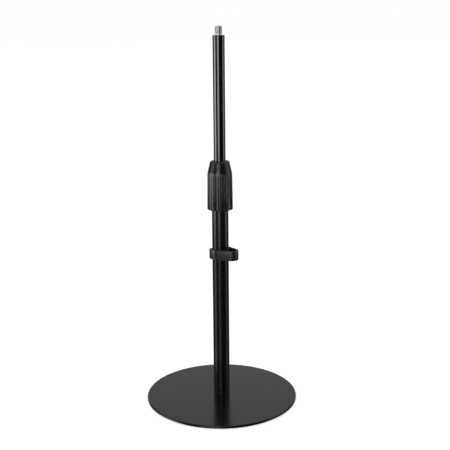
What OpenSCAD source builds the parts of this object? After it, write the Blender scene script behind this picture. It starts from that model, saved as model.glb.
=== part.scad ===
// Desktop microphone stand: a flat round base, a two-stage pole with a twist clutch,
// a threaded stud on top and a clip that guides the cable down the pole.
// All sizes in millimetres. +Z is up the pole, the floor is z = 0, +X is to the
// right and -Y is to the front.

/* [Base] */
// Outside diameter of the steel base plate
base_d = 205; // [150:1:260]
// Thickness of the base plate
plate_t = 3; // [2.5:0.5:8]
// Radius on the plate's upper rim
plate_edge_r = 1.2; // [0.4:0.1:2]
// Thickness of the anti-slip pad under the plate
pad_t = 1.5; // [1:0.5:4]
// How far the pad stops short of the plate's rim
pad_inset = 2.5; // [1:0.5:10]

/* [Pole] */
// Outside diameter of the lower tube
lower_d = 22; // [21.6:0.1:22.4]
// Wall of the lower tube
lower_wall = 1.2; // [1:0.1:1.4]
// Outside diameter of the upper tube
upper_d = 15.6; // [14:0.1:16]
// Wall of the upper tube
upper_wall = 1; // [0.8:0.1:1.2]
// Height of the upper tube's top rim above the floor
upper_top = 488; // [440:1:520]
// Height at which the upper tube ends inside the lower one
upper_bottom = 237; // [200:1:250]

/* [Clutch] */
// Height of the grip's lower face above the floor
grip_bottom = 264.5; // [264.5:0.5:300]
// Outside diameter of the grip at its foot
grip_d = 33.8; // [33:0.1:38]
// Number of flutes around the grip
flute_count = 30; // [18:1:36]
// Depth of the flutes
flute_depth = 1.0; // [0.4:0.1:1.1]

/* [Stud] */
// Outside diameter of the microphone stud, a 3/8 inch thread
stud_d = 9.525; // [9:0.005:9.6]
// Height of the stud above the upper tube's rim
stud_h = 11.5; // [8:0.5:16]

/* [Cable clip] */
// Height of the clip's lower face above the floor
clip_z = 198.3; // [20:0.1:240]
// Height of the clip's band
clip_h = 13; // [8:0.5:20]
// Direction in which the cable loop points, from the right towards the back
clip_angle = -35.5; // [-180:0.5:180]
// Distance from the pole's axis to the centre of the cable loop
loop_reach = 17.9; // [14:0.1:24]
// Outside radius of the cable loop's round end
loop_r = 9.2; // [7:0.1:12]
// Thickness of the clip's band
clip_wall = 2.65; // [2:0.05:3]

/* [Hidden] */
$fn = 96;
eps = 0.5;
plate_z = pad_t;
plate_top = pad_t + plate_t;
base_r = base_d / 2;
lower_r = lower_d / 2;
lower_in = lower_r - lower_wall;
upper_r = upper_d / 2;
upper_in = upper_r - upper_wall;
run_gap = 0.05;
pad_hole_r = 12;
plate_edge_cut = 0.4;

// Foot fixing, an M8 countersunk screw
screw_r = 4;
screw_len = 22;
screw_head_r = 7.6;
screw_land = 0.3;
screw_head_z = plate_top - (screw_head_r - screw_r);
socket_across = 5;
socket_deep = 2.4;
insert_len = 29.5;
insert_hole = 25;
tube_foot_cut = 0.6;

// Clutch stack, measured from the grip's lower face
thread_r = lower_r + 2;
thread_gap = 0.06;
sleeve_z = grip_bottom + 7.5;
sleeve_top = grip_bottom + 44.5;
lower_top = grip_bottom + 38.5;
seat_z = grip_bottom + 40;
sleeve_bore = upper_r + 0.4;
sleeve_cut = 0.8;
seat_r = 10.4;
cushion_h = 1.5;
cushion_r = seat_r - 0.1;
collet_z = seat_z + cushion_h;
collet_r = 10.35;
collet_bore = upper_r + 0.07;
collet_straight = 4;
collet_h = 13.5;
collet_nose = 8.8;
slit_w = 1.2;
slit_count = 3;
slit_turn = 30;
slit_overrun = 1;
ring_z = grip_bottom + 49.5;
ring_h = 5.5;
ring_r = 11.2;
cone_gap = 0.05;
cone_slope = (collet_r - collet_nose) / (collet_h - collet_straight);
set_screw_r = 2;
set_screw_z = grip_bottom + 24;
set_screw_hex = 2;
set_screw_hex_deep = 2;
set_screw_inset = 0.4;

// Grip and its threaded insert
grip_h = 64;
grip_top_r = grip_d / 2 - 4.3;
grip_knee_r = grip_d / 2 - 0.5;
grip_knee_h = 47.8;
grip_foot_r = 1.2;
grip_crown_r = 0.8;
flute_r = 0.95;
flute_reach = grip_d / 2 - flute_depth + flute_r;
core_z = grip_bottom + 3.5;
core_r = thread_r + 1.8;
core_step_z = grip_bottom + 48.5;
core_shelf = 2;
core_neck_r = 12.9;
core_neck_in = 11.4;
core_top = grip_bottom + 57;
core_lip = 1.9;
grip_mouth = upper_r + 0.6;
grip_skirt = thread_r + 0.3;
core_mouth = grip_mouth - 0.1;

// Lower end of the upper tube
bush_h = 20;
bush_z = upper_bottom + 0.2;
bush_out = lower_in - run_gap;
bush_bore = upper_r + 0.07;
plug_flange_h = 4;
plug_flange_r = lower_in - 0.5;
plug_spigot = 10;
snap_z = bush_z + bush_h + 0.2;
snap_h = 1.2;
snap_r = upper_r + 1.1;
snap_slit = 3;
groove_deep = 0.4;
stop_h = 5;
stop_gap = 0.2;
stop_r = lower_in - 0.3;

// Upper end of the upper tube
cap_len = 18;
boss_r = 6;
boss_h = 0.7;
boss_cut = 0.3;
tube_rim_r = 0.7;
stud_root = 15;
stud_root_r = 4;
stud_neck = 1;
stud_cut = 0.8;

// Cable clip
liner_in = lower_r + run_gap;
liner_t = 1.15;
clip_in = liner_in + liner_t + run_gap;
clip_out = clip_in + clip_wall;
mouth_from = 138;
mouth_span = 73;
mouth_steps = 10;
tangent = acos((clip_out - loop_r) / loop_reach);
arc_step = 6;
clip_edge = 0.5;

module ring(z, h, r_out, r_in)
    translate([0, 0, z])
    difference() {
        cylinder(h = h, r = r_out);
        translate([0, 0, -eps])
            cylinder(h = h + 2 * eps, r = r_in);
    }

// Steel plate with a rounded upper rim and a countersunk hole in the middle
module base_plate()
    color([0.13, 0.13, 0.14])
    difference() {
        rotate_extrude()
            union() {
                translate([0, plate_z])
                    polygon([[0, 0], [base_r - plate_edge_cut, 0], [base_r, plate_edge_cut],
                        [base_r, plate_t - plate_edge_r], [base_r - plate_edge_r, plate_t], [0, plate_t]]);
                intersection() {
                    translate([base_r - plate_edge_r, plate_top - plate_edge_r])
                        circle(r = plate_edge_r);
                    translate([base_r - plate_edge_r, plate_top - plate_edge_r])
                        square([plate_edge_r, plate_edge_r]);
                }
            }
        translate([0, 0, plate_z - eps])
            cylinder(h = plate_t + 2 * eps, r = screw_r);
        translate([0, 0, screw_head_z])
            cylinder(h = screw_head_r - screw_r, r1 = screw_head_r, r2 = screw_r);
    }

// Foam pad that the stand rests on
module base_pad()
    color([0.05, 0.05, 0.05])
    ring(0, pad_t, base_r - pad_inset, pad_hole_r);

// Countersunk screw that holds the pole to the plate, driven from below
module base_screw()
    color([0.6, 0.6, 0.62])
    difference() {
        union() {
            translate([0, 0, screw_head_z - screw_land])
                cylinder(h = screw_land, r = screw_head_r);
            translate([0, 0, screw_head_z])
                cylinder(h = screw_head_r - screw_r, r1 = screw_head_r, r2 = screw_r);
            translate([0, 0, plate_top])
                cylinder(h = screw_len, r = screw_r);
        }
        translate([0, 0, screw_head_z - screw_land - eps])
            cylinder(h = socket_deep + eps, r = socket_across / 2 / cos(30), $fn = 6);
    }

// Steel plug pressed into the foot of the pole, tapped for the screw
module foot_insert()
    color([0.55, 0.55, 0.57])
    difference() {
        translate([0, 0, plate_top])
            cylinder(h = insert_len, r = lower_in);
        translate([0, 0, plate_top - eps])
            cylinder(h = insert_hole + eps, r = screw_r);
    }

// Outer tube of the pole
module lower_tube()
    color([0.06, 0.06, 0.065])
    difference() {
        rotate_extrude()
            polygon([[lower_in, plate_top], [lower_r - tube_foot_cut, plate_top],
                [lower_r, plate_top + tube_foot_cut], [lower_r, lower_top], [lower_in, lower_top]]);
        for (side = [0, 180])
            rotate([0, 0, side])
            translate([lower_in - eps, 0, set_screw_z])
            rotate([0, 90, 0])
                cylinder(h = lower_wall + 2 * eps, r = set_screw_r);
    }

// Threaded sleeve fixed over the top of the lower tube, with the seat for the collet
module clutch_sleeve()
    color([0.62, 0.62, 0.64])
    difference() {
        rotate_extrude()
            polygon([[lower_r, sleeve_z], [thread_r - sleeve_cut, sleeve_z],
                [thread_r, sleeve_z + sleeve_cut], [thread_r, sleeve_top - sleeve_cut],
                [thread_r - sleeve_cut, sleeve_top], [seat_r, sleeve_top], [seat_r, seat_z],
                [sleeve_bore, seat_z], [sleeve_bore, lower_top], [lower_r, lower_top]]);
        for (side = [0, 180])
            rotate([0, 0, side])
            translate([lower_r - eps, 0, set_screw_z])
            rotate([0, 90, 0])
                cylinder(h = thread_r - lower_r + 2 * eps, r = set_screw_r);
    }

// Two headless screws that lock the sleeve to the tube
module sleeve_screws()
    color([0.5, 0.5, 0.52])
    for (side = [0, 180])
        rotate([0, 0, side])
        difference() {
            translate([lower_in, 0, set_screw_z])
            rotate([0, 90, 0])
                cylinder(h = thread_r - lower_in - set_screw_inset, r = set_screw_r);
            translate([thread_r - set_screw_hex_deep, 0, set_screw_z])
            rotate([0, 90, 0])
                cylinder(h = set_screw_hex_deep, r = set_screw_hex / 2 / cos(30), $fn = 6);
        }

// Rubber ring under the collet
module cushion_ring()
    color([0.04, 0.04, 0.04])
    ring(seat_z, cushion_h, cushion_r, sleeve_bore);

// Split nylon collet that is squeezed on to the upper tube
module collet()
    color([0.86, 0.85, 0.8])
    difference() {
        translate([0, 0, collet_z])
        rotate_extrude()
            polygon([[collet_bore, 0], [collet_r, 0], [collet_r, collet_straight],
                [collet_nose, collet_h], [collet_bore, collet_h]]);
        for (turn = [0 : slit_count - 1])
            rotate([0, 0, turn * 360 / slit_count + slit_turn])
            translate([0, -slit_w / 2, collet_z + collet_straight - slit_overrun])
                cube([collet_r + eps, slit_w, collet_h]);
    }

// Steel ring with a tapered bore that the grip presses on to the collet
module thrust_ring()
    color([0.66, 0.66, 0.68])
    rotate_extrude()
        polygon([
            [collet_r + cone_gap - (ring_z - collet_z - collet_straight) * cone_slope, ring_z],
            [ring_r, ring_z], [ring_r, ring_z + ring_h],
            [collet_r + cone_gap - (ring_z + ring_h - collet_z - collet_straight) * cone_slope,
                ring_z + ring_h]]);

// Brass core of the grip, threaded on to the sleeve and closed by a lip at the top
module grip_insert()
    color([0.75, 0.6, 0.3])
    rotate_extrude()
        polygon([[thread_r + thread_gap, core_z], [core_r, core_z], [core_r, core_step_z],
            [core_neck_r, core_step_z], [core_neck_r, core_top], [core_mouth, core_top],
            [core_mouth, core_top - core_lip], [core_neck_in, core_top - core_lip],
            [core_neck_in, core_step_z - core_shelf], [thread_r + thread_gap, core_step_z - core_shelf]]);

// Fluted plastic grip moulded round its core
module clutch_grip()
    color([0.07, 0.07, 0.07])
    translate([0, 0, grip_bottom])
    difference() {
        rotate_extrude()
            difference() {
                polygon([[0, 0], [grip_d / 2 - grip_foot_r, 0], [grip_d / 2, grip_foot_r],
                    [grip_knee_r, grip_knee_h], [grip_top_r, grip_h - grip_crown_r],
                    [grip_top_r - grip_crown_r, grip_h], [0, grip_h]]);
                translate([-eps, -eps])
                    square([grip_skirt + eps, core_z - grip_bottom + eps]);
                translate([-eps, core_z - grip_bottom])
                    square([core_r + eps, core_step_z - core_z]);
                translate([-eps, core_z - grip_bottom])
                    square([core_neck_r + eps, core_top - core_z]);
                translate([-eps, core_z - grip_bottom])
                    square([grip_mouth + eps, grip_h]);
            }
        for (turn = [0 : flute_count - 1])
            rotate([0, 0, turn * 360 / flute_count])
            translate([flute_reach, 0, -eps])
                cylinder(h = grip_h + 2 * eps, r = flute_r);
    }

// Inner tube of the pole, grooved near its foot and rounded at its rim
module upper_tube()
    color([0.05, 0.05, 0.055])
    rotate_extrude()
        difference() {
            union() {
                polygon([[upper_in, upper_bottom], [upper_r, upper_bottom],
                    [upper_r, upper_top - tube_rim_r], [upper_r - tube_rim_r, upper_top],
                    [upper_in, upper_top]]);
                intersection() {
                    translate([upper_r - tube_rim_r, upper_top - tube_rim_r])
                        circle(r = tube_rim_r);
                    translate([upper_r - tube_rim_r, upper_top - tube_rim_r])
                        square([tube_rim_r, tube_rim_r]);
                }
            }
            translate([upper_r - groove_deep, snap_z])
                square([groove_deep + eps, snap_h]);
        }

// Nylon bush that guides the inner tube in the outer one
module guide_bush()
    color([0.86, 0.85, 0.8])
    ring(bush_z, bush_h, bush_out, bush_bore);

// Plug pressed into the foot of the inner tube, its flange holds the bush
module end_plug()
    color([0.12, 0.12, 0.12])
    union() {
        translate([0, 0, upper_bottom - plug_flange_h])
            cylinder(h = plug_flange_h, r = plug_flange_r);
        translate([0, 0, upper_bottom - eps])
            cylinder(h = plug_spigot + eps, r = upper_in);
    }

// Snap ring that holds the bush from above
module retaining_ring()
    color([0.45, 0.45, 0.47])
    difference() {
        ring(snap_z, snap_h, snap_r, upper_r - groove_deep);
        translate([0, -snap_slit / 2, snap_z - eps])
            cube([snap_r + eps, snap_slit, snap_h + 2 * eps]);
    }

// Collar pressed on the inner tube, it meets the sleeve when the pole is fully out
module stop_ring()
    color([0.55, 0.55, 0.57])
    ring(lower_top - stop_gap - stop_h, stop_h, stop_r, upper_r);

// Metal plug that closes the inner tube and carries the stud
module top_plug()
    color([0.72, 0.72, 0.74])
    rotate_extrude()
        polygon([[stud_root_r, upper_top - cap_len], [upper_in, upper_top - cap_len],
            [upper_in, upper_top], [boss_r, upper_top], [boss_r - boss_cut, upper_top + boss_h],
            [stud_root_r, upper_top + boss_h]]);

// Stud that takes the microphone holder, with a relief neck above the plug
module top_stud()
    color([0.75, 0.75, 0.77])
    rotate_extrude()
        polygon([[0, upper_top - stud_root], [stud_root_r, upper_top - stud_root],
            [stud_root_r, upper_top + boss_h + stud_neck],
            [stud_d / 2, upper_top + boss_h + stud_neck],
            [stud_d / 2, upper_top + stud_h - stud_cut],
            [stud_d / 2 - stud_cut, upper_top + stud_h], [0, upper_top + stud_h]]);

// Sector that opens the clip and its liner, to snap them over the pole
module clip_mouth()
    translate([0, 0, -eps])
    linear_extrude(height = clip_h + 2 * eps)
        polygon(concat([[0, 0]],
            [for (step = [0 : mouth_steps])
                (clip_out + clip_wall) * [cos(mouth_from + mouth_span * step / mouth_steps),
                    sin(mouth_from + mouth_span * step / mouth_steps)]]));

// Open rubber sleeve between the clip and the pole
module clip_liner()
    color([0.05, 0.05, 0.05])
    rotate([0, 0, clip_angle])
    translate([0, 0, clip_z])
    difference() {
        ring(0, clip_h, liner_in + liner_t, liner_in);
        clip_mouth();
    }

// Outline of the clip: a round about the pole drawn out to a smaller round
module clip_shape(inset)
    polygon(concat(
        [for (a = [tangent : arc_step : 360 - tangent])
            (clip_out - inset) * [cos(a), sin(a)]],
        [for (a = [360 - tangent : arc_step : 360 + tangent])
            [loop_reach, 0] + (loop_r - inset) * [cos(a), sin(a)]]));

// Plastic clip that holds the cable against the pole
module cable_clip()
    color([0.08, 0.08, 0.08])
    rotate([0, 0, clip_angle])
    translate([0, 0, clip_z])
    difference() {
        linear_extrude(height = clip_h)
            clip_shape(0);
        translate([0, 0, -eps])
        linear_extrude(height = clip_h + 2 * eps)
            clip_shape(clip_wall);
        translate([0, 0, -eps])
            cylinder(h = clip_h + 2 * eps, r = clip_in);
        clip_mouth();
    }

base_plate();
base_pad();
base_screw();
foot_insert();
lower_tube();
clutch_sleeve();
sleeve_screws();
cushion_ring();
collet();
thrust_ring();
grip_insert();
clutch_grip();
upper_tube();
guide_bush();
end_plug();
retaining_ring();
stop_ring();
top_plug();
top_stud();
clip_liner();
cable_clip();
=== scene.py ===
import math

import bmesh
import bpy
from mathutils import Matrix, Vector


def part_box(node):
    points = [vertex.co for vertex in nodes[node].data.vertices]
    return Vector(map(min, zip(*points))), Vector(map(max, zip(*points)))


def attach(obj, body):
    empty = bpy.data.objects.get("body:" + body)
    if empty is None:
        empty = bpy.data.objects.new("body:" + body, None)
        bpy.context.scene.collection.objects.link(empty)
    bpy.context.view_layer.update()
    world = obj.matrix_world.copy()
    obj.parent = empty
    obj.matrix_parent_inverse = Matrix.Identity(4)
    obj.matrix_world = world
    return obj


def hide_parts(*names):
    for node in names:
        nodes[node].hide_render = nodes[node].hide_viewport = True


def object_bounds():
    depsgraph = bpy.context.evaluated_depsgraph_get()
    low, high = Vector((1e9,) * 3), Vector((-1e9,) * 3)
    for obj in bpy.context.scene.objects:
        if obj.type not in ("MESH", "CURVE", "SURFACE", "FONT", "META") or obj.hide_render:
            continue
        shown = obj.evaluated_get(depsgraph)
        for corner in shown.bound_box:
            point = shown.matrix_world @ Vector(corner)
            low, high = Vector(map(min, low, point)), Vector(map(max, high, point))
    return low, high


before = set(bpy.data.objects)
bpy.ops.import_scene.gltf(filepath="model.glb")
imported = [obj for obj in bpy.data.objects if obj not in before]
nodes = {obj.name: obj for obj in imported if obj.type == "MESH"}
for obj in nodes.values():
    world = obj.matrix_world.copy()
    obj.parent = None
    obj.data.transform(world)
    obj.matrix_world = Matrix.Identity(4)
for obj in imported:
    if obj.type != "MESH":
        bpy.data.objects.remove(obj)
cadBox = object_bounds()
mm = 0.001  # every length below is written in millimetres
weld = 0.0001 * mm  # points closer than this become one


# ---- camera, floor and light

view = {
    "distance": 1071,  # from the pole
    "height": 488.5,
    "lens": 66.4,
    "sensor": 36,
    "near": 10,
    "far": 200000,
    "turn": 0.333,  # degrees to the right
    "tilt": 12.914,  # degrees down
    "roll": -0.46,
}

studio = {
    "floorWidth": 120000,
    "floorSides": 96,
    "floorColor": 0.8,
    "floorRough": 0.9,
    "floorGlow": 0.62,
    "skyHorizon": 1.0,
    "skyUpper": 0.535,
    "skyLower": 0.012,
    "skySteps": (0.47, 0.482, 0.665, 0.682),  # 0 is straight down, 0.5 level, 1 straight up
    "flagColor": 0.004,
    "flagSteps": 72,
}

softboxes = [
    # side is in degrees right of the camera; the cloth dims downwards to faint and upwards to high
    {"name": "keyLeft", "side": -83, "wide": 1580, "faint": -370, "high": 620, "dim": 0.12, "glow": 3.8},
    {"name": "fillLeft", "side": -16.5, "wide": 1290, "faint": -310, "high": 1100, "dim": 0.06, "glow": 3.1},
    {"name": "rimRight", "side": 88, "wide": 1280, "faint": -450, "high": 800, "dim": 0.2, "glow": 1.45},
    {"name": "backLeft", "side": -152, "wide": 800, "faint": -400, "high": 950, "dim": 0.4, "glow": 0.8},
    {"name": "backRight", "side": 150, "wide": 1000, "faint": -400, "high": 950, "dim": 0.4, "glow": 1.0},
]

cloth = {  # every softbox's distance and heights
    "away": 2500,
    "low": -2400,
    "under": -1420,  # bright again below this, for high views
    "underGlow": 0.7,
    "base": -1180,
    "full": 60,
    "fade": 0.8,  # share of the way from full to high where the cloth starts to dim
}

flags = [
    # black cloth round the set, seen only in reflections; side and span in degrees
    {"name": "ringFlag", "side": 0, "span": 360, "away": 12000, "low": -5000, "high": 3830},
    {"name": "cameraFlag", "side": 0, "span": 116, "away": 3000, "low": -1300, "high": 2000},
]


def makeCamera():
    data = bpy.data.cameras.new("camera")
    data.lens = view["lens"]
    data.sensor_width = view["sensor"]
    data.clip_start = view["near"] * mm
    data.clip_end = view["far"] * mm
    camera = bpy.data.objects.new("camera", data)
    bpy.context.scene.collection.objects.link(camera)
    turn = Matrix.Rotation(math.radians(-view["turn"]), 4, "Z")
    tilt = Matrix.Rotation(math.radians(90 - view["tilt"]), 4, "X")
    roll = Matrix.Rotation(math.radians(view["roll"]), 4, "Z")
    place = Matrix.Translation(Vector((0, -view["distance"], view["height"])) * mm)
    camera.matrix_world = place @ turn @ tilt @ roll
    bpy.context.scene.camera = camera


def makeFloor():
    bm = bmesh.new()
    bmesh.ops.create_circle(bm, cap_ends=True, radius=studio["floorWidth"] / 2 * mm,
                          segments=studio["floorSides"])
    mesh = bpy.data.meshes.new("floor")
    bm.to_mesh(mesh)
    bm.free()
    floor = bpy.data.objects.new("floor", mesh)
    bpy.context.scene.collection.objects.link(floor)
    paint = bpy.data.materials.new("floorPaper")
    paint.use_nodes = True
    shader = paint.node_tree.nodes["Principled BSDF"]
    shade = studio["floorColor"]
    shader.inputs["Base Color"].default_value = (shade, shade, shade, 1)
    shader.inputs["Roughness"].default_value = studio["floorRough"]
    shader.inputs["Specular IOR Level"].default_value = 0
    shader.inputs["Emission Color"].default_value = (1, 1, 1, 1)
    shader.inputs["Emission Strength"].default_value = studio["floorGlow"]
    mesh.materials.append(paint)
    floor.visible_glossy = False  # keeps the black tubes from mirroring the paper


def makeSky():
    sky = bpy.data.worlds.new("studioSky")
    bpy.context.scene.world = sky
    bpy.context.scene.view_settings.view_transform = "Standard"  # the paper stays white
    sky.use_nodes = True
    tree = sky.node_tree
    tree.nodes.clear()
    output = tree.nodes.new("ShaderNodeOutputWorld")
    glow = tree.nodes.new("ShaderNodeBackground")
    ramp = tree.nodes.new("ShaderNodeValToRGB")
    split = tree.nodes.new("ShaderNodeSeparateXYZ")
    where = tree.nodes.new("ShaderNodeTexCoord")
    raised = tree.nodes.new("ShaderNodeMath")  # up and down, from -1..1 to 0..1
    raised.operation = "MULTIPLY_ADD"
    raised.inputs[1].default_value = 0.5
    raised.inputs[2].default_value = 0.5
    tree.links.new(where.outputs["Generated"], split.inputs[0])
    tree.links.new(split.outputs["Z"], raised.inputs[0])
    tree.links.new(raised.outputs[0], ramp.inputs[0])
    tree.links.new(ramp.outputs[0], glow.inputs[0])
    tree.links.new(glow.outputs[0], output.inputs[0])
    steps = ramp.color_ramp.elements
    places = studio["skySteps"]
    steps[0].position = places[0]
    steps[1].position = places[1]
    steps.new(places[2])
    steps.new(places[3])
    shades = (studio["skyLower"], studio["skyHorizon"], studio["skyHorizon"], studio["skyUpper"])
    for step, shade in zip(steps, shades):
        step.color = (shade, shade, shade, 1)


def makeSoftbox(box):
    side = math.radians(box["side"] - 90)
    centre = Vector((math.cos(side), math.sin(side), 0)) * cloth["away"] * mm
    tall = box["high"] - cloth["low"]
    fade = cloth["full"] + cloth["fade"] * (box["high"] - cloth["full"])
    bm = bmesh.new()
    bmesh.ops.create_grid(bm, x_segments=1, y_segments=1, size=0.5)
    bmesh.ops.scale(bm, vec=(box["wide"] * mm, tall * mm, 1), verts=bm.verts)
    bmesh.ops.rotate(bm, matrix=Matrix.Rotation(math.pi / 2, 3, "X"), verts=bm.verts)
    bmesh.ops.rotate(bm, matrix=Matrix.Rotation(side - math.pi / 2, 3, "Z"), verts=bm.verts)
    bmesh.ops.translate(bm, vec=centre + Vector((0, 0, (cloth["low"] + tall / 2) * mm)), verts=bm.verts)
    mesh = bpy.data.meshes.new(box["name"])
    bm.to_mesh(mesh)
    bm.free()
    panel = bpy.data.objects.new(box["name"], mesh)
    bpy.context.scene.collection.objects.link(panel)
    paint = bpy.data.materials.new(box["name"] + "Cloth")
    paint.use_nodes = True
    tree = paint.node_tree
    tree.nodes.clear()
    output = tree.nodes.new("ShaderNodeOutputMaterial")
    glow = tree.nodes.new("ShaderNodeEmission")
    glow.inputs["Strength"].default_value = box["glow"]
    where = tree.nodes.new("ShaderNodeTexCoord")
    split = tree.nodes.new("ShaderNodeSeparateXYZ")
    reach = tree.nodes.new("ShaderNodeMapRange")
    reach.inputs["From Min"].default_value = cloth["low"] * mm
    reach.inputs["From Max"].default_value = box["high"] * mm
    ramp = tree.nodes.new("ShaderNodeValToRGB")
    marks = ((cloth["under"], cloth["underGlow"]), (cloth["base"], box["dim"]),
             (box["faint"], box["dim"]), (cloth["full"], 1), (fade, 1), (box["high"], 0))
    steps = ramp.color_ramp.elements
    for height, _ in marks[1:-1]:
        steps.new((height - cloth["low"]) / tall)
    for step, (height, shade) in zip(steps, marks):
        step.position = (height - cloth["low"]) / tall
        step.color = (shade, shade, shade, 1)
    tree.links.new(where.outputs["Object"], split.inputs[0])
    tree.links.new(split.outputs["Z"], reach.inputs["Value"])
    tree.links.new(reach.outputs[0], ramp.inputs[0])
    tree.links.new(ramp.outputs[0], glow.inputs["Color"])
    tree.links.new(glow.outputs[0], output.inputs["Surface"])
    mesh.materials.append(paint)
    panel.visible_camera = False
    panel.visible_shadow = False


def makeFlag(flag):
    bm = bmesh.new()
    half = flag["span"] / 2
    start = math.radians(flag["side"] - half - 90)
    edge = Vector((math.cos(start), math.sin(start), 0)) * flag["away"] * mm
    line = [bm.verts.new(edge + Vector((0, 0, flag[end] * mm))) for end in ("low", "high")]
    upright = bm.edges.new(line)
    bmesh.ops.spin(bm, geom=line + [upright], cent=(0, 0, 0), axis=(0, 0, 1), dvec=(0, 0, 0),
                   angle=math.radians(flag["span"]), steps=studio["flagSteps"],
                   use_merge=flag["span"] == 360, use_duplicate=False)
    mesh = bpy.data.meshes.new(flag["name"])
    bm.to_mesh(mesh)
    bm.free()
    curtain = bpy.data.objects.new(flag["name"], mesh)
    bpy.context.scene.collection.objects.link(curtain)
    paint = bpy.data.materials.new(flag["name"] + "Cloth")
    paint.use_nodes = True
    shader = paint.node_tree.nodes["Principled BSDF"]
    shade = studio["flagColor"]
    shader.inputs["Base Color"].default_value = (shade, shade, shade, 1)
    shader.inputs["Roughness"].default_value = 1
    shader.inputs["Specular IOR Level"].default_value = 0
    mesh.materials.append(paint)
    curtain.visible_camera = False
    curtain.visible_diffuse = False
    curtain.visible_shadow = False


makeCamera()
makeFloor()
makeSky()
for flag in flags:
    makeFlag(flag)
for softbox in softboxes:
    makeSoftbox(softbox)
print("studio ready")


# ---- finishes, each on Object coordinates

def newFinish(name):
    finish = bpy.data.materials.new(name)
    finish.use_nodes = True
    tree = finish.node_tree
    shader = tree.nodes["Principled BSDF"]
    where = tree.nodes.new("ShaderNodeTexCoord")
    place = tree.nodes.new("ShaderNodeMapping")
    tree.links.new(where.outputs["Object"], place.inputs["Vector"])
    return finish, tree, shader, place


def addNoise(tree, place, scale, detail=4, rough=0.5):
    noise = tree.nodes.new("ShaderNodeTexNoise")
    noise.inputs["Scale"].default_value = scale
    noise.inputs["Detail"].default_value = detail
    noise.inputs["Roughness"].default_value = rough
    tree.links.new(place.outputs["Vector"], noise.inputs["Vector"])
    return noise


def spread(tree, source, low, high, fromLow=0.3, fromHigh=0.7):
    span = tree.nodes.new("ShaderNodeMapRange")
    span.inputs["From Min"].default_value = fromLow
    span.inputs["From Max"].default_value = fromHigh
    span.inputs["To Min"].default_value = low
    span.inputs["To Max"].default_value = high
    tree.links.new(source, span.inputs["Value"])
    return span.outputs["Result"]


def twoTone(tree, source, dark, light, fromLow=0.35, fromHigh=0.65):
    ramp = tree.nodes.new("ShaderNodeValToRGB")
    ramp.color_ramp.elements[0].position = fromLow
    ramp.color_ramp.elements[1].position = fromHigh
    ramp.color_ramp.elements[0].color = (*dark, 1)
    ramp.color_ramp.elements[1].color = (*light, 1)
    tree.links.new(source, ramp.inputs[0])
    return ramp.outputs[0]


def paintFrom(tree, shader, source, look):
    tree.links.new(twoTone(tree, source, look["dark"], look["light"]), shader.inputs["Base Color"])


def roughFrom(tree, shader, source, look, extra=0):
    rough = spread(tree, source, look["roughLow"] + extra, look["roughHigh"] + extra)
    tree.links.new(rough, shader.inputs["Roughness"])


def addBump(tree, shader, heights):
    # heights: a list of (output, depth in millimetres)
    last = None
    for source, depth in heights:
        bump = tree.nodes.new("ShaderNodeBump")
        bump.inputs["Strength"].default_value = 1
        bump.inputs["Distance"].default_value = depth * mm
        tree.links.new(source, bump.inputs["Height"])
        if last is not None:
            tree.links.new(last.outputs["Normal"], bump.inputs["Normal"])
        last = bump
    tree.links.new(last.outputs["Normal"], shader.inputs["Normal"])


plateCoat = {
    "dark": (0.0026, 0.0018, 0.0021),
    "light": (0.0048, 0.0036, 0.004),
    "tint": (1.0, 0.9, 0.95),
    "shine": 0.465,
    "mottle": 35,
    "roughLow": 0.17,
    "roughHigh": 0.21,
    "grain": 900,
    "grainDepth": 0.0012,
    "wave": 60,
    "waveDepth": 0.004,
}


def satinPlateCoat():
    finish, tree, shader, place = newFinish("satinPlateCoat")
    mottle = addNoise(tree, place, plateCoat["mottle"], 6, 0.6)
    grain = addNoise(tree, place, plateCoat["grain"], 3, 0.6)
    wave = addNoise(tree, place, plateCoat["wave"], 2, 0.4)
    paintFrom(tree, shader, mottle.outputs["Fac"], plateCoat)
    roughFrom(tree, shader, mottle.outputs["Fac"], plateCoat)
    shader.inputs["Specular IOR Level"].default_value = plateCoat["shine"]
    shader.inputs["Specular Tint"].default_value = (*plateCoat["tint"], 1)
    addBump(tree, shader, [(wave.outputs["Fac"], plateCoat["waveDepth"]),
                           (grain.outputs["Fac"], plateCoat["grainDepth"])])
    return finish


tubeCoat = {
    "dark": (0.0012, 0.0012, 0.0014),
    "light": (0.0024, 0.0024, 0.0027),
    "shine": 1,
    "mottle": 90,
    "roughLow": 0.12,
    "roughHigh": 0.16,
    "peel": 420,
    "peelDepth": 0.0035,
    "lowerRough": 0.07,  # how much duller the lower tube is
}


def semiGlossTubeCoat(name, extraRough):
    finish, tree, shader, place = newFinish(name)
    mottle = addNoise(tree, place, tubeCoat["mottle"], 5, 0.6)
    peel = addNoise(tree, place, tubeCoat["peel"], 2, 0.5)
    paintFrom(tree, shader, mottle.outputs["Fac"], tubeCoat)
    roughFrom(tree, shader, mottle.outputs["Fac"], tubeCoat, extraRough)
    shader.inputs["Specular IOR Level"].default_value = tubeCoat["shine"]
    addBump(tree, shader, [(peel.outputs["Fac"], tubeCoat["peelDepth"])])
    return finish


gripSkin = {
    "dark": (0.0013, 0.0013, 0.0014),
    "light": (0.0028, 0.0028, 0.003),
    "tint": (0.96, 0.96, 1.0),
    "shine": 1,
    "mottle": 120,
    "roughLow": 0.2,
    "roughHigh": 0.27,
    "spark": 1700,
    "sparkDepth": 0.016,
    "fineScale": 2.2,  # the finer grain, as a share of the spark marks
    "fineDepth": 0.4,
}


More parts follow.
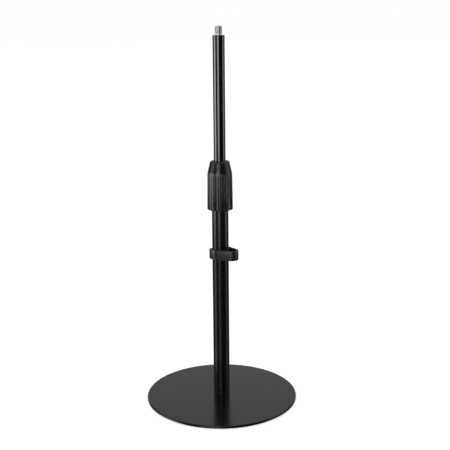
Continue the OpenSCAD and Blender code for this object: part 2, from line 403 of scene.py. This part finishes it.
def sparkGrainPlastic():
    finish, tree, shader, place = newFinish("sparkGrainPlastic")
    mottle = addNoise(tree, place, gripSkin["mottle"], 5, 0.6)
    cells = tree.nodes.new("ShaderNodeTexVoronoi")
    cells.inputs["Scale"].default_value = gripSkin["spark"]
    tree.links.new(place.outputs["Vector"], cells.inputs["Vector"])
    fine = addNoise(tree, place, gripSkin["spark"] * gripSkin["fineScale"], 3, 0.6)
    paintFrom(tree, shader, mottle.outputs["Fac"], gripSkin)
    roughFrom(tree, shader, mottle.outputs["Fac"], gripSkin)
    shader.inputs["Specular IOR Level"].default_value = gripSkin["shine"]
    shader.inputs["Specular Tint"].default_value = (*gripSkin["tint"], 1)
    addBump(tree, shader, [(cells.outputs["Distance"], gripSkin["sparkDepth"]),
                           (fine.outputs["Fac"], gripSkin["sparkDepth"] * gripSkin["fineDepth"])])
    return finish


clipSkin = {
    "dark": (0.0022, 0.0022, 0.0022),
    "light": (0.0042, 0.0042, 0.0042),
    "roughLow": 0.33,
    "roughHigh": 0.41,
    "shine": 0.84,
    "mottle": 100,
    "grain": 1500,
    "grainDepth": 0.012,
}


def mouldedClipPlastic():
    finish, tree, shader, place = newFinish("mouldedClipPlastic")
    mottle = addNoise(tree, place, clipSkin["mottle"], 5, 0.6)
    grain = addNoise(tree, place, clipSkin["grain"], 3, 0.6)
    paintFrom(tree, shader, mottle.outputs["Fac"], clipSkin)
    roughFrom(tree, shader, mottle.outputs["Fac"], clipSkin)
    shader.inputs["Specular IOR Level"].default_value = clipSkin["shine"]
    addBump(tree, shader, [(grain.outputs["Fac"], clipSkin["grainDepth"])])
    return finish


brightZinc = {
    "dark": (0.62, 0.655, 0.645),
    "light": (0.74, 0.775, 0.765),
    "roughLow": 0.3,
    "roughHigh": 0.36,
}

turnedSteel = {
    "dark": (0.55, 0.55, 0.56),
    "light": (0.66, 0.66, 0.67),
    "roughLow": 0.28,
    "roughHigh": 0.4,
}

turnedBrass = {
    "dark": (0.76, 0.56, 0.24),
    "light": (0.86, 0.66, 0.32),
    "roughLow": 0.25,
    "roughHigh": 0.36,
}

lathe = {
    "stretch": 14,  # the marks run round the part
    "marks": 260,
    "depth": 0.003,
    "mottle": 160,
}


def turnedMetal(name, look):
    finish, tree, shader, place = newFinish(name)
    place.inputs["Scale"].default_value = (1, 1, lathe["stretch"])
    mottle = addNoise(tree, place, lathe["mottle"], 5, 0.6)
    marks = addNoise(tree, place, lathe["marks"], 4, 0.7)
    paintFrom(tree, shader, mottle.outputs["Fac"], look)
    roughFrom(tree, shader, marks.outputs["Fac"], look)
    shader.inputs["Metallic"].default_value = 1
    addBump(tree, shader, [(marks.outputs["Fac"], lathe["depth"])])
    return finish


nylon = {
    "dark": (0.62, 0.59, 0.5),
    "light": (0.7, 0.67, 0.59),
    "roughLow": 0.4,
    "roughHigh": 0.5,
    "mottle": 140,
    "grain": 900,
    "grainDepth": 0.006,
    "glowThrough": 0.12,
    "glowReach": (2, 1.8, 1.4),  # red, green and blue
}


def plainNylon():
    finish, tree, shader, place = newFinish("naturalNylon")
    mottle = addNoise(tree, place, nylon["mottle"], 5, 0.6)
    grain = addNoise(tree, place, nylon["grain"], 3, 0.6)
    paintFrom(tree, shader, mottle.outputs["Fac"], nylon)
    roughFrom(tree, shader, grain.outputs["Fac"], nylon)
    shader.inputs["Subsurface Weight"].default_value = nylon["glowThrough"]
    shader.inputs["Subsurface Radius"].default_value = [reach * mm for reach in nylon["glowReach"]]
    addBump(tree, shader, [(grain.outputs["Fac"], nylon["grainDepth"])])
    return finish


rubber = {
    "dark": (0.008, 0.008, 0.008),
    "light": (0.015, 0.0148, 0.0145),
    "roughLow": 0.6,
    "roughHigh": 0.75,
    "mottle": 180,
    "grain": 1100,
    "grainDepth": 0.02,
}


def softRubber():
    finish, tree, shader, place = newFinish("softRubber")
    mottle = addNoise(tree, place, rubber["mottle"], 5, 0.6)
    grain = addNoise(tree, place, rubber["grain"], 4, 0.7)
    paintFrom(tree, shader, mottle.outputs["Fac"], rubber)
    roughFrom(tree, shader, grain.outputs["Fac"], rubber)
    addBump(tree, shader, [(grain.outputs["Fac"], rubber["grainDepth"])])
    return finish


foam = {
    "dark": (0.01, 0.01, 0.0105),
    "light": (0.019, 0.019, 0.0195),
    "roughCell": 0.95,
    "roughWall": 0.8,
    "shine": 0.3,
    "mottle": 60,
    "cells": 650,
    "cellDepth": 0.12,
}


def cellFoam():
    finish, tree, shader, place = newFinish("cellFoam")
    cells = tree.nodes.new("ShaderNodeTexVoronoi")
    cells.inputs["Scale"].default_value = foam["cells"]
    tree.links.new(place.outputs["Vector"], cells.inputs["Vector"])
    mottle = addNoise(tree, place, foam["mottle"], 5, 0.6)
    paintFrom(tree, shader, mottle.outputs["Fac"], foam)
    rough = spread(tree, cells.outputs["Distance"], foam["roughCell"], foam["roughWall"], 0, 0.8)
    tree.links.new(rough, shader.inputs["Roughness"])
    shader.inputs["Specular IOR Level"].default_value = foam["shine"]
    addBump(tree, shader, [(cells.outputs["Distance"], foam["cellDepth"])])
    return finish


finishes = {
    "plate": satinPlateCoat(),
    "upperTube": semiGlossTubeCoat("semiGlossUpperTube", 0),
    "lowerTube": semiGlossTubeCoat("semiGlossLowerTube", tubeCoat["lowerRough"]),
    "grip": sparkGrainPlastic(),
    "clip": mouldedClipPlastic(),
    "zinc": turnedMetal("brightZinc", brightZinc),
    "steel": turnedMetal("turnedSteel", turnedSteel),
    "brass": turnedMetal("turnedBrass", turnedBrass),
    "nylon": plainNylon(),
    "rubber": softRubber(),
    "foam": cellFoam(),
}
print("finishes ready")


# ---- shared shape tools

def finishPiece(name, bm, finish, body, replaced, sharp=38):
    bmesh.ops.remove_doubles(bm, verts=bm.verts, dist=weld)
    bmesh.ops.recalc_face_normals(bm, faces=bm.faces)
    mesh = bpy.data.meshes.new(name)
    bm.to_mesh(mesh)
    bm.free()
    mesh.shade_smooth()
    mesh.set_sharp_from_angle(angle=math.radians(sharp))
    mesh.materials.append(finishes[finish])
    piece = bpy.data.objects.new(name, mesh)
    bpy.context.scene.collection.objects.link(piece)
    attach(piece, body)
    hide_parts(*replaced)
    return piece


def heldCorners(corners, hold=0.15 * mm):
    # a point just past each rounding keeps the long faces flat and straight in shading
    spots = []
    count = len(corners)
    for at, (radius, height, rounding) in enumerate(corners):
        here = Vector((radius, height))
        if rounding == 0:
            spots.append((radius, height, 0))
            continue
        sides = []
        for near in (corners[at - 1], corners[(at + 1) % count]):
            way = Vector(near[:2]) - here
            sides.append(here + way.normalized() * (rounding + hold))
        spots += [(*sides[0], 0), (radius, height, rounding), (*sides[1], 0)]
    return spots


def spunShape(corners, steps, segments=5):
    # corners: (radius, height, rounding) in metres, in order round the closed section
    corners = heldCorners(corners)
    bm = bmesh.new()
    points = [bm.verts.new((radius, 0, height)) for radius, height, _ in corners]
    for start, end in zip(points, points[1:] + points[:1]):
        bm.edges.new((start, end))
    for rounding in sorted({corner[2] for corner in corners if corner[2] > 0}):
        soft = [point for point, corner in zip(points, corners) if corner[2] == rounding]
        bmesh.ops.bevel(bm, geom=soft, offset=rounding, offset_type="OFFSET", affect="VERTICES",
                        segments=segments, profile=0.5, material=-1)
    bmesh.ops.spin(bm, geom=bm.verts[:] + bm.edges[:], cent=(0, 0, 0), axis=(0, 0, 1), dvec=(0, 0, 0),
                   angle=2 * math.pi, steps=steps, use_merge=True, use_duplicate=False)
    return bm


def outerThread(bm, major, pitch, depth, low, high, chamfer, steps=40):
    # one tooth of a 60 degree thread swept up a screw line, then cut flat at both ends
    minor = major - depth * pitch
    turns = math.ceil((high - low) / pitch) + 2
    tooth = [(minor, 0), (minor, 0.16), (major, 0.47), (major, 0.69), (minor, 1.0)]  # shares of the pitch
    line = [bm.verts.new((radius, 0, low - pitch + share * pitch)) for radius, share in tooth]
    edges = [bm.edges.new(pair) for pair in zip(line, line[1:])]
    before = set(bm.verts) - set(line)
    bmesh.ops.spin(bm, geom=line + edges, cent=(0, 0, 0), axis=(0, 0, 1),
                   dvec=(0, 0, pitch / steps), angle=2 * math.pi * turns, steps=steps * turns,
                   use_merge=False, use_duplicate=False)
    made = [v for v in bm.verts if v not in before]
    bmesh.ops.remove_doubles(bm, verts=made, dist=pitch * 0.01)
    for height, outward in ((high, 1), (low, -1)):
        made = [v for v in bm.verts if v not in before]
        faces = list({f for v in made for f in v.link_faces})
        edges = list({e for f in faces for e in f.edges})
        bmesh.ops.bisect_plane(bm, geom=made + edges + faces, dist=weld, plane_co=(0, 0, height),
                               plane_no=(0, 0, outward), clear_outer=True, clear_inner=False)
    made = [v for v in bm.verts if v not in before]
    for v in made:
        across = math.hypot(v.co.x, v.co.y)
        limit = major - max(0, v.co.z - (high - chamfer))
        if across > limit:
            v.co.x *= limit / across
            v.co.y *= limit / across
    edges = list({e for v in made for e in v.link_edges if e.is_boundary})
    bmesh.ops.holes_fill(bm, edges=edges, sides=0)


# ---- base plate

plate = {
    "hole": 4,
    "rim": 1.2,  # rounding of the upper rim
    "foot": 0.4,
    "steps": 288,
}


def makePlate():
    low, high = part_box("base_plate")
    radius = cadBox[1][0]
    hole = plate["hole"] * mm
    sink = hole + high.z - low.z  # the screw's head sits in a 45 degree sink
    bm = spunShape([(hole, high.z, 0), (radius, high.z, plate["rim"] * mm),
                    (radius, low.z, plate["foot"] * mm), (sink, low.z, 0)], plate["steps"], 6)
    finishPiece("basePlate", bm, "plate", "stand", ["base_plate"])


makePlate()
print("base plate ready")


# ---- pole tubes

tube = {
    "lowerWall": 1.2,
    "upperWall": 1.0,
    "foot": 0.55,  # rounding of the lower tube's foot
    "rim": 0.65,
    "inner": 0.3,  # rounding of the two hidden ends
    "steps": 144,
}


def makeTube(name, node, body, wall, footRound, rimRound):
    low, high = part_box(node)
    radius = (high.x - low.x) / 2
    bore = radius - wall * mm
    bm = spunShape([(bore, low.z, 0), (radius, low.z, footRound * mm), (radius, high.z, rimRound * mm),
                    (bore, high.z, 0)], tube["steps"])
    finishPiece(name, bm, name, body, [node])


makeTube("lowerTube", "lower_tube", "stand", tube["lowerWall"], tube["foot"], tube["inner"])
makeTube("upperTube", "upper_tube", "mast", tube["upperWall"], tube["inner"], tube["rim"])
print("tubes ready")


# ---- clutch grip

grip = {
    "flutes": 30,
    "fluteRadius": 0.95,
    "fluteDepth": 1.0,
    "fluteEnd": 1.1,  # above the knee
    "soften": 0.16,  # rounding of the ridges between flutes
    "kneeHeight": 47.8,
    "kneeInset": 0.5,
    "kneeSoften": 0.6,
    "topInset": 4.3,
    "foot": 1.3,  # rounding of the lower end
    "crown": 1.0,
    "mouthGap": 0.6,  # round the upper tube
    "skirtGap": 0.3,  # round the threaded sleeve
    "mouthDeep": 7,  # from the top down to the core's lip
    "neckRadius": 12.9,
    "neckDeep": 15.5,
    "lip": 0.25,
    "perFlute": 16,
    "footLevels": (0, 0.08, 0.3, 0.6, 0.95, 1.3, 2.5, 6, 12, 20, 28, 36, 42),
    "kneeLevels": 30,  # close together, from kneeLead below the knee
    "kneeLead": 3.5,
    "kneeStep": 0.25,
    "topLevels": (11, 8, 5, 3, 2, 1, 0.75, 0.5, 0.25, 0.08, 0),  # down from the top
}


def softMin(a, b, k):
    # the smaller of two, with the corner between them eased over k
    h = max(k - abs(a - b), 0) / k
    return min(a, b) - h * h * k / 4


def gripRadius(height, angle, outer, tall):
    # outer skin: barrel, cone and rounded ends, cut by upright round flutes
    knee = grip["kneeHeight"] * mm
    inset = grip["kneeInset"] * mm
    barrel = outer - inset * height / knee
    cone = outer - inset - (grip["topInset"] * mm - inset) * (height - knee) / (tall - knee)
    body = softMin(barrel, cone, grip["kneeSoften"] * mm)
    foot = grip["foot"] * mm
    crown = grip["crown"] * mm
    if height < foot:
        body -= foot - math.sqrt(max(foot ** 2 - (foot - height) ** 2, 0))
    if height > tall - crown:
        body -= crown - math.sqrt(max(crown ** 2 - (height - tall + crown) ** 2, 0))
    reach = outer - (grip["fluteDepth"] - grip["fluteRadius"]) * mm
    step = 2 * math.pi / grip["flutes"]
    off = (angle + step / 2) % step - step / 2
    side = abs(reach * math.sin(off))
    past = max(height - knee - grip["fluteEnd"] * mm, 0)  # the flute ends in a ball
    cut = math.sqrt(max((grip["fluteRadius"] * mm) ** 2 - past ** 2, 0))
    if side < cut:
        groove = reach * math.cos(off) - math.sqrt(cut ** 2 - side ** 2)
    else:
        groove = reach + side - cut
    return softMin(body, groove, grip["soften"] * mm)


def makeGrip():
    low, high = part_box("clutch_grip")
    outer = (high.y - low.y) / 2
    tall = high.z - low.z
    coreLow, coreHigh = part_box("grip_insert")
    coreRadius = coreHigh.x
    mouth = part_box("upper_tube")[1].x + grip["mouthGap"] * mm
    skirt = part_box("clutch_sleeve")[1].x + grip["skirtGap"] * mm
    neckRadius = grip["neckRadius"] * mm
    neckTop = tall - grip["mouthDeep"] * mm
    shelf = tall - grip["neckDeep"] * mm
    coreFoot = coreLow.z - low.z
    lip = grip["lip"] * mm
    knee = grip["kneeHeight"] * mm
    levels = [up * mm for up in grip["footLevels"]]
    for step in range(grip["kneeLevels"]):
        levels.append(knee + (step * grip["kneeStep"] - grip["kneeLead"]) * mm)
    levels += [tall - down * mm for down in grip["topLevels"]]
    inside = [(mouth + lip, tall), (mouth, tall - lip), (mouth, neckTop), (neckRadius, neckTop),
              (neckRadius, shelf), (coreRadius, shelf), (coreRadius, coreFoot), (skirt, coreFoot),
              (skirt, lip), (skirt + lip, 0)]
    bm = bmesh.new()
    count = grip["flutes"] * grip["perFlute"]
    bmesh.ops.create_circle(bm, cap_ends=False, radius=1, segments=count)
    first = bm.verts[:]

    def settle(verts, radiusAt, height):
        for v in verts:
            angle = math.atan2(v.co.y, v.co.x)
            reach = radiusAt(angle)
            v.co = (reach * math.cos(angle), reach * math.sin(angle), low.z + height)

    settle(first, lambda angle: gripRadius(0, angle, outer, tall), 0)
    firstEdges = bm.edges[:]
    edges = firstEdges
    path = [(None, level) for level in levels[1:]] + inside
    for radius, level in path:
        grown = bmesh.ops.extrude_edge_only(bm, edges=edges)["geom"]
        verts = {item for item in grown if isinstance(item, bmesh.types.BMVert)}
        edges = [item for item in grown if isinstance(item, bmesh.types.BMEdge)
                 and item.verts[0] in verts and item.verts[1] in verts]
        if radius is None:
            settle(verts, lambda angle: gripRadius(level, angle, outer, tall), level)
        else:
            settle(verts, lambda angle: radius, level)
    bmesh.ops.bridge_loops(bm, edges=edges + firstEdges)
    finishPiece("clutchGrip", bm, "grip", "clutch_nut", ["clutch_grip"], 50)


makeGrip()
print("grip ready")


# ---- stud and its plug

stud = {
    "pitch": 1.5875,  # sixteen threads to the inch
    "depth": 0.45,  # of the thread, as a share of its pitch
    "chamfer": 0.9,
    "root": 4,
    "neck": 1.7,  # height of the smooth neck over the tube's rim
    "overlap": 0.05,
    "shoulder": 6,  # radius of the plug's step
    "shoulderTop": 5.8,
    "coreSteps": 64,
    "plugSteps": 96,
    "plugFoot": 0.3,  # roundings of the plug
    "plugStep": 0.1,
    "plugTop": 0.2,
}


def makeStud():
    low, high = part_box("top_stud")
    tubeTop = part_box("upper_tube")[1].z
    neckTop = tubeTop + stud["neck"] * mm
    coreTop = neckTop + stud["overlap"] * mm
    root = stud["root"] * mm
    bm = bmesh.new()
    bmesh.ops.create_cone(bm, cap_ends=True, segments=stud["coreSteps"], radius1=root, radius2=root,
                          depth=coreTop - low.z, matrix=Matrix.Translation((0, 0, (low.z + coreTop) / 2)))
    outerThread(bm, high.x, stud["pitch"] * mm, stud["depth"], neckTop, high.z, stud["chamfer"] * mm)
    finishPiece("topStud", bm, "zinc", "mast", ["top_stud"], 30)


def makePlug():
    low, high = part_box("top_plug")
    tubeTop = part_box("upper_tube")[1].z
    radius = high.x
    root = stud["root"] * mm
    bm = spunShape([(root, low.z, 0), (radius, low.z, stud["plugFoot"] * mm), (radius, tubeTop, 0),
                    (stud["shoulder"] * mm, tubeTop, stud["plugStep"] * mm),
                    (stud["shoulderTop"] * mm, high.z, stud["plugTop"] * mm), (root, high.z, 0)],
                   stud["plugSteps"], 3)
    finishPiece("topPlug", bm, "zinc", "mast", ["top_plug"], 30)


makeStud()
makePlug()
print("stud ready")


# ---- cable clip

clip = {
    "turn": -35.5,  # where the cable loop points
    "reach": 17.9,
    "loopRadius": 9.2,
    "poleRadius": 14.9,
    "wall": 2.65,
    "openFrom": 138,  # the mouth that snaps over the pole, turned with the loop
    "openTo": 211,
    "edge": 0.45,
    "arcSteps": (28, 36, 20),  # round the pole, round the loop, round the pole again
}


def makeClip():
    low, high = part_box("cable_clip")
    half = clip["wall"] / 2
    big = clip["poleRadius"] - half
    small = clip["loopRadius"] - half
    tangent = math.degrees(math.acos((big - small) / clip["reach"]))
    spots = []

    def arc(start, end, radius, centre, count):
        for step in range(count + 1):
            a = math.radians(start + (end - start) * step / count)
            spots.append((centre + radius * math.cos(a), radius * math.sin(a)))

    first, second, third = clip["arcSteps"]
    arc(clip["openTo"], 360 - tangent, big, 0, first)
    arc(-tangent, tangent, small, clip["reach"], second)
    arc(tangent, clip["openFrom"], big, 0, third)
    bm = bmesh.new()
    line = [bm.verts.new((x * mm, y * mm, low.z)) for x, y in spots]
    edges = [bm.edges.new(pair) for pair in zip(line, line[1:])]
    grown = bmesh.ops.extrude_edge_only(bm, edges=edges)["geom"]
    bmesh.ops.translate(bm, vec=(0, 0, high.z - low.z),
                        verts=[item for item in grown if isinstance(item, bmesh.types.BMVert)])
    bmesh.ops.recalc_face_normals(bm, faces=bm.faces)
    outward = bm.faces[0].normal.dot(bm.faces[0].calc_center_median()) > 0
    if not outward:
        bmesh.ops.reverse_faces(bm, faces=bm.faces)
    for v in bm.verts:
        v.normal_update()
    for v in bm.verts:
        v.co += v.normal * half * mm
    bmesh.ops.solidify(bm, geom=bm.faces[:], thickness=clip["wall"] * mm)
    bmesh.ops.recalc_face_normals(bm, faces=bm.faces)
    rims = [e for e in bm.edges if len(e.link_faces) == 2 and e.calc_face_angle(0) > math.radians(60)]
    bmesh.ops.bevel(bm, geom=rims, offset=clip["edge"] * mm, offset_type="OFFSET", affect="EDGES",
                    segments=3, profile=0.5, material=-1)
    bmesh.ops.rotate(bm, matrix=Matrix.Rotation(math.radians(clip["turn"]), 3, "Z"), verts=bm.verts)
    finishPiece("cableClip", bm, "clip", "clip", ["cable_clip"], 40)


makeClip()
print("clip ready")


# ---- pieces that keep their frame shape

kept = {
    "base_pad": "foam",
    "base_screw": "steel",
    "foot_insert": "steel",
    "clutch_sleeve": "zinc",
    "sleeve_screws": "steel",
    "cushion_ring": "rubber",
    "collet": "nylon",
    "thrust_ring": "steel",
    "grip_insert": "brass",
    "guide_bush": "nylon",
    "end_plug": "clip",
    "retaining_ring": "steel",
    "stop_ring": "steel",
    "clip_liner": "rubber",
}
for node, finish in kept.items():
    for place in nodes[node].material_slots:
        place.material = finishes[finish]
print("kept pieces painted")
